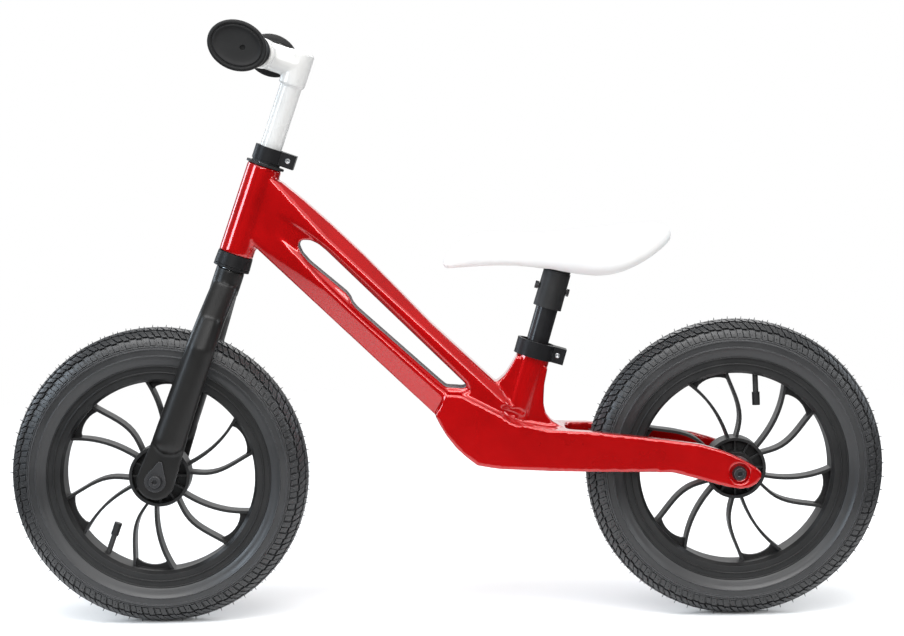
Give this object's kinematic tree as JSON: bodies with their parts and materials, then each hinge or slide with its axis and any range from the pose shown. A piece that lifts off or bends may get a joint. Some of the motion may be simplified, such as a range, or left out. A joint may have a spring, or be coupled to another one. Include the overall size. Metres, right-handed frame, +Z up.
{
  "type": "balance bike",
  "caption": "Pedal-free balance bike for a small child: cast frame, turning fork, height-adjustable bar and saddle, two moulded spoked wheels.",
  "frame": {"origin": "on the ground, midway between the two axles, in the middle plane", "axes": "+X towards the rear wheel, +Y to the rider's right, +Z up; the bike faces -X"},
  "size_m": [0.872, 0.4, 0.5936],
  "materials": {
    "red_paint": "gloss powder coat over cast light alloy",
    "fork_black": "satin black paint over light alloy",
    "clamp_black": "black anodised",
    "cup_black": "black",
    "post_black": "gloss black",
    "white_bar": "gloss white",
    "saddle_white": "soft smooth",
    "grip_black": "matte rubber",
    "tyre_black": "matte",
    "tube_black": "matte",
    "wheel_black": "satin moulded nylon",
    "plastic_black": "moulded",
    "steel": "plated",
    "bolt_black": "black oxide"
  },
  "bodies": {
    "frame": {"frame_casting": "red_paint", "upper_head_bush": "plastic_black", "lower_headset_cup": "cup_black", "headset_balls": "steel", "seat_clamp": "clamp_black", "seat_clamp_bolt": "steel", "rear_axle": "steel", "rear_axle_bolts": "bolt_black", "rear_bearing_inner_races": "steel", "rear_axle_spacers": "bolt_black"},
    "fork": {"fork": "fork_black", "steerer_tube": "steel", "crown_race": "cup_black", "clamp_spacer": "plastic_black", "stem_clamp": "clamp_black", "stem_clamp_bolt": "steel", "front_axle": "steel", "front_axle_bolts": "bolt_black", "front_washers": "bolt_black", "front_bearing_inner_races": "steel", "front_axle_spacers": "bolt_black"},
    "handlebar": {"stem": "white_bar", "handlebar": "white_bar", "left_grip": "grip_black", "right_grip": "grip_black"},
    "front_wheel": {"front_wheel": "wheel_black", "front_tyre": "tyre_black", "front_inner_tube": "tube_black", "front_valve_stem": "tube_black", "front_valve_cap": "plastic_black", "front_bearing_outer_races": "steel", "front_bearing_balls": "steel"},
    "rear_wheel": {"rear_wheel": "wheel_black", "rear_tyre": "tyre_black", "rear_inner_tube": "tube_black", "rear_valve_stem": "tube_black", "rear_valve_cap": "plastic_black", "rear_bearing_outer_races": "steel", "rear_bearing_balls": "steel"},
    "saddle": {"seat_post": "post_black", "post_plug": "plastic_black", "saddle_sleeve": "plastic_black", "sleeve_bolt": "bolt_black", "saddle_pan": "plastic_black", "saddle_cover": "saddle_white"}
  },
  "joints": [
    {"name": "steering", "type": "hinge", "parent": "frame", "child": "fork", "pos_m": [-0.20715, 0, 0.36882], "axis": [0.3338, 0, 0.9426], "continuous": true},
    {"name": "bar_height", "type": "slide", "parent": "fork", "child": "handlebar", "axis": [0.3338, 0, 0.9426], "range_m": [-0.04, 0.03]},
    {"name": "front_wheel_spin", "type": "hinge", "parent": "fork", "child": "front_wheel", "pos_m": [-0.2875, 0, 0.1485], "axis": [0, 1, 0], "continuous": true},
    {"name": "rear_wheel_spin", "type": "hinge", "parent": "frame", "child": "rear_wheel", "pos_m": [0.2875, 0, 0.1485], "axis": [0, 1, 0], "continuous": true},
    {"name": "saddle_height", "type": "slide", "parent": "frame", "child": "saddle", "axis": [0.284, 0, 0.9588], "range_m": [-0.018, 0.045]}
  ]
}
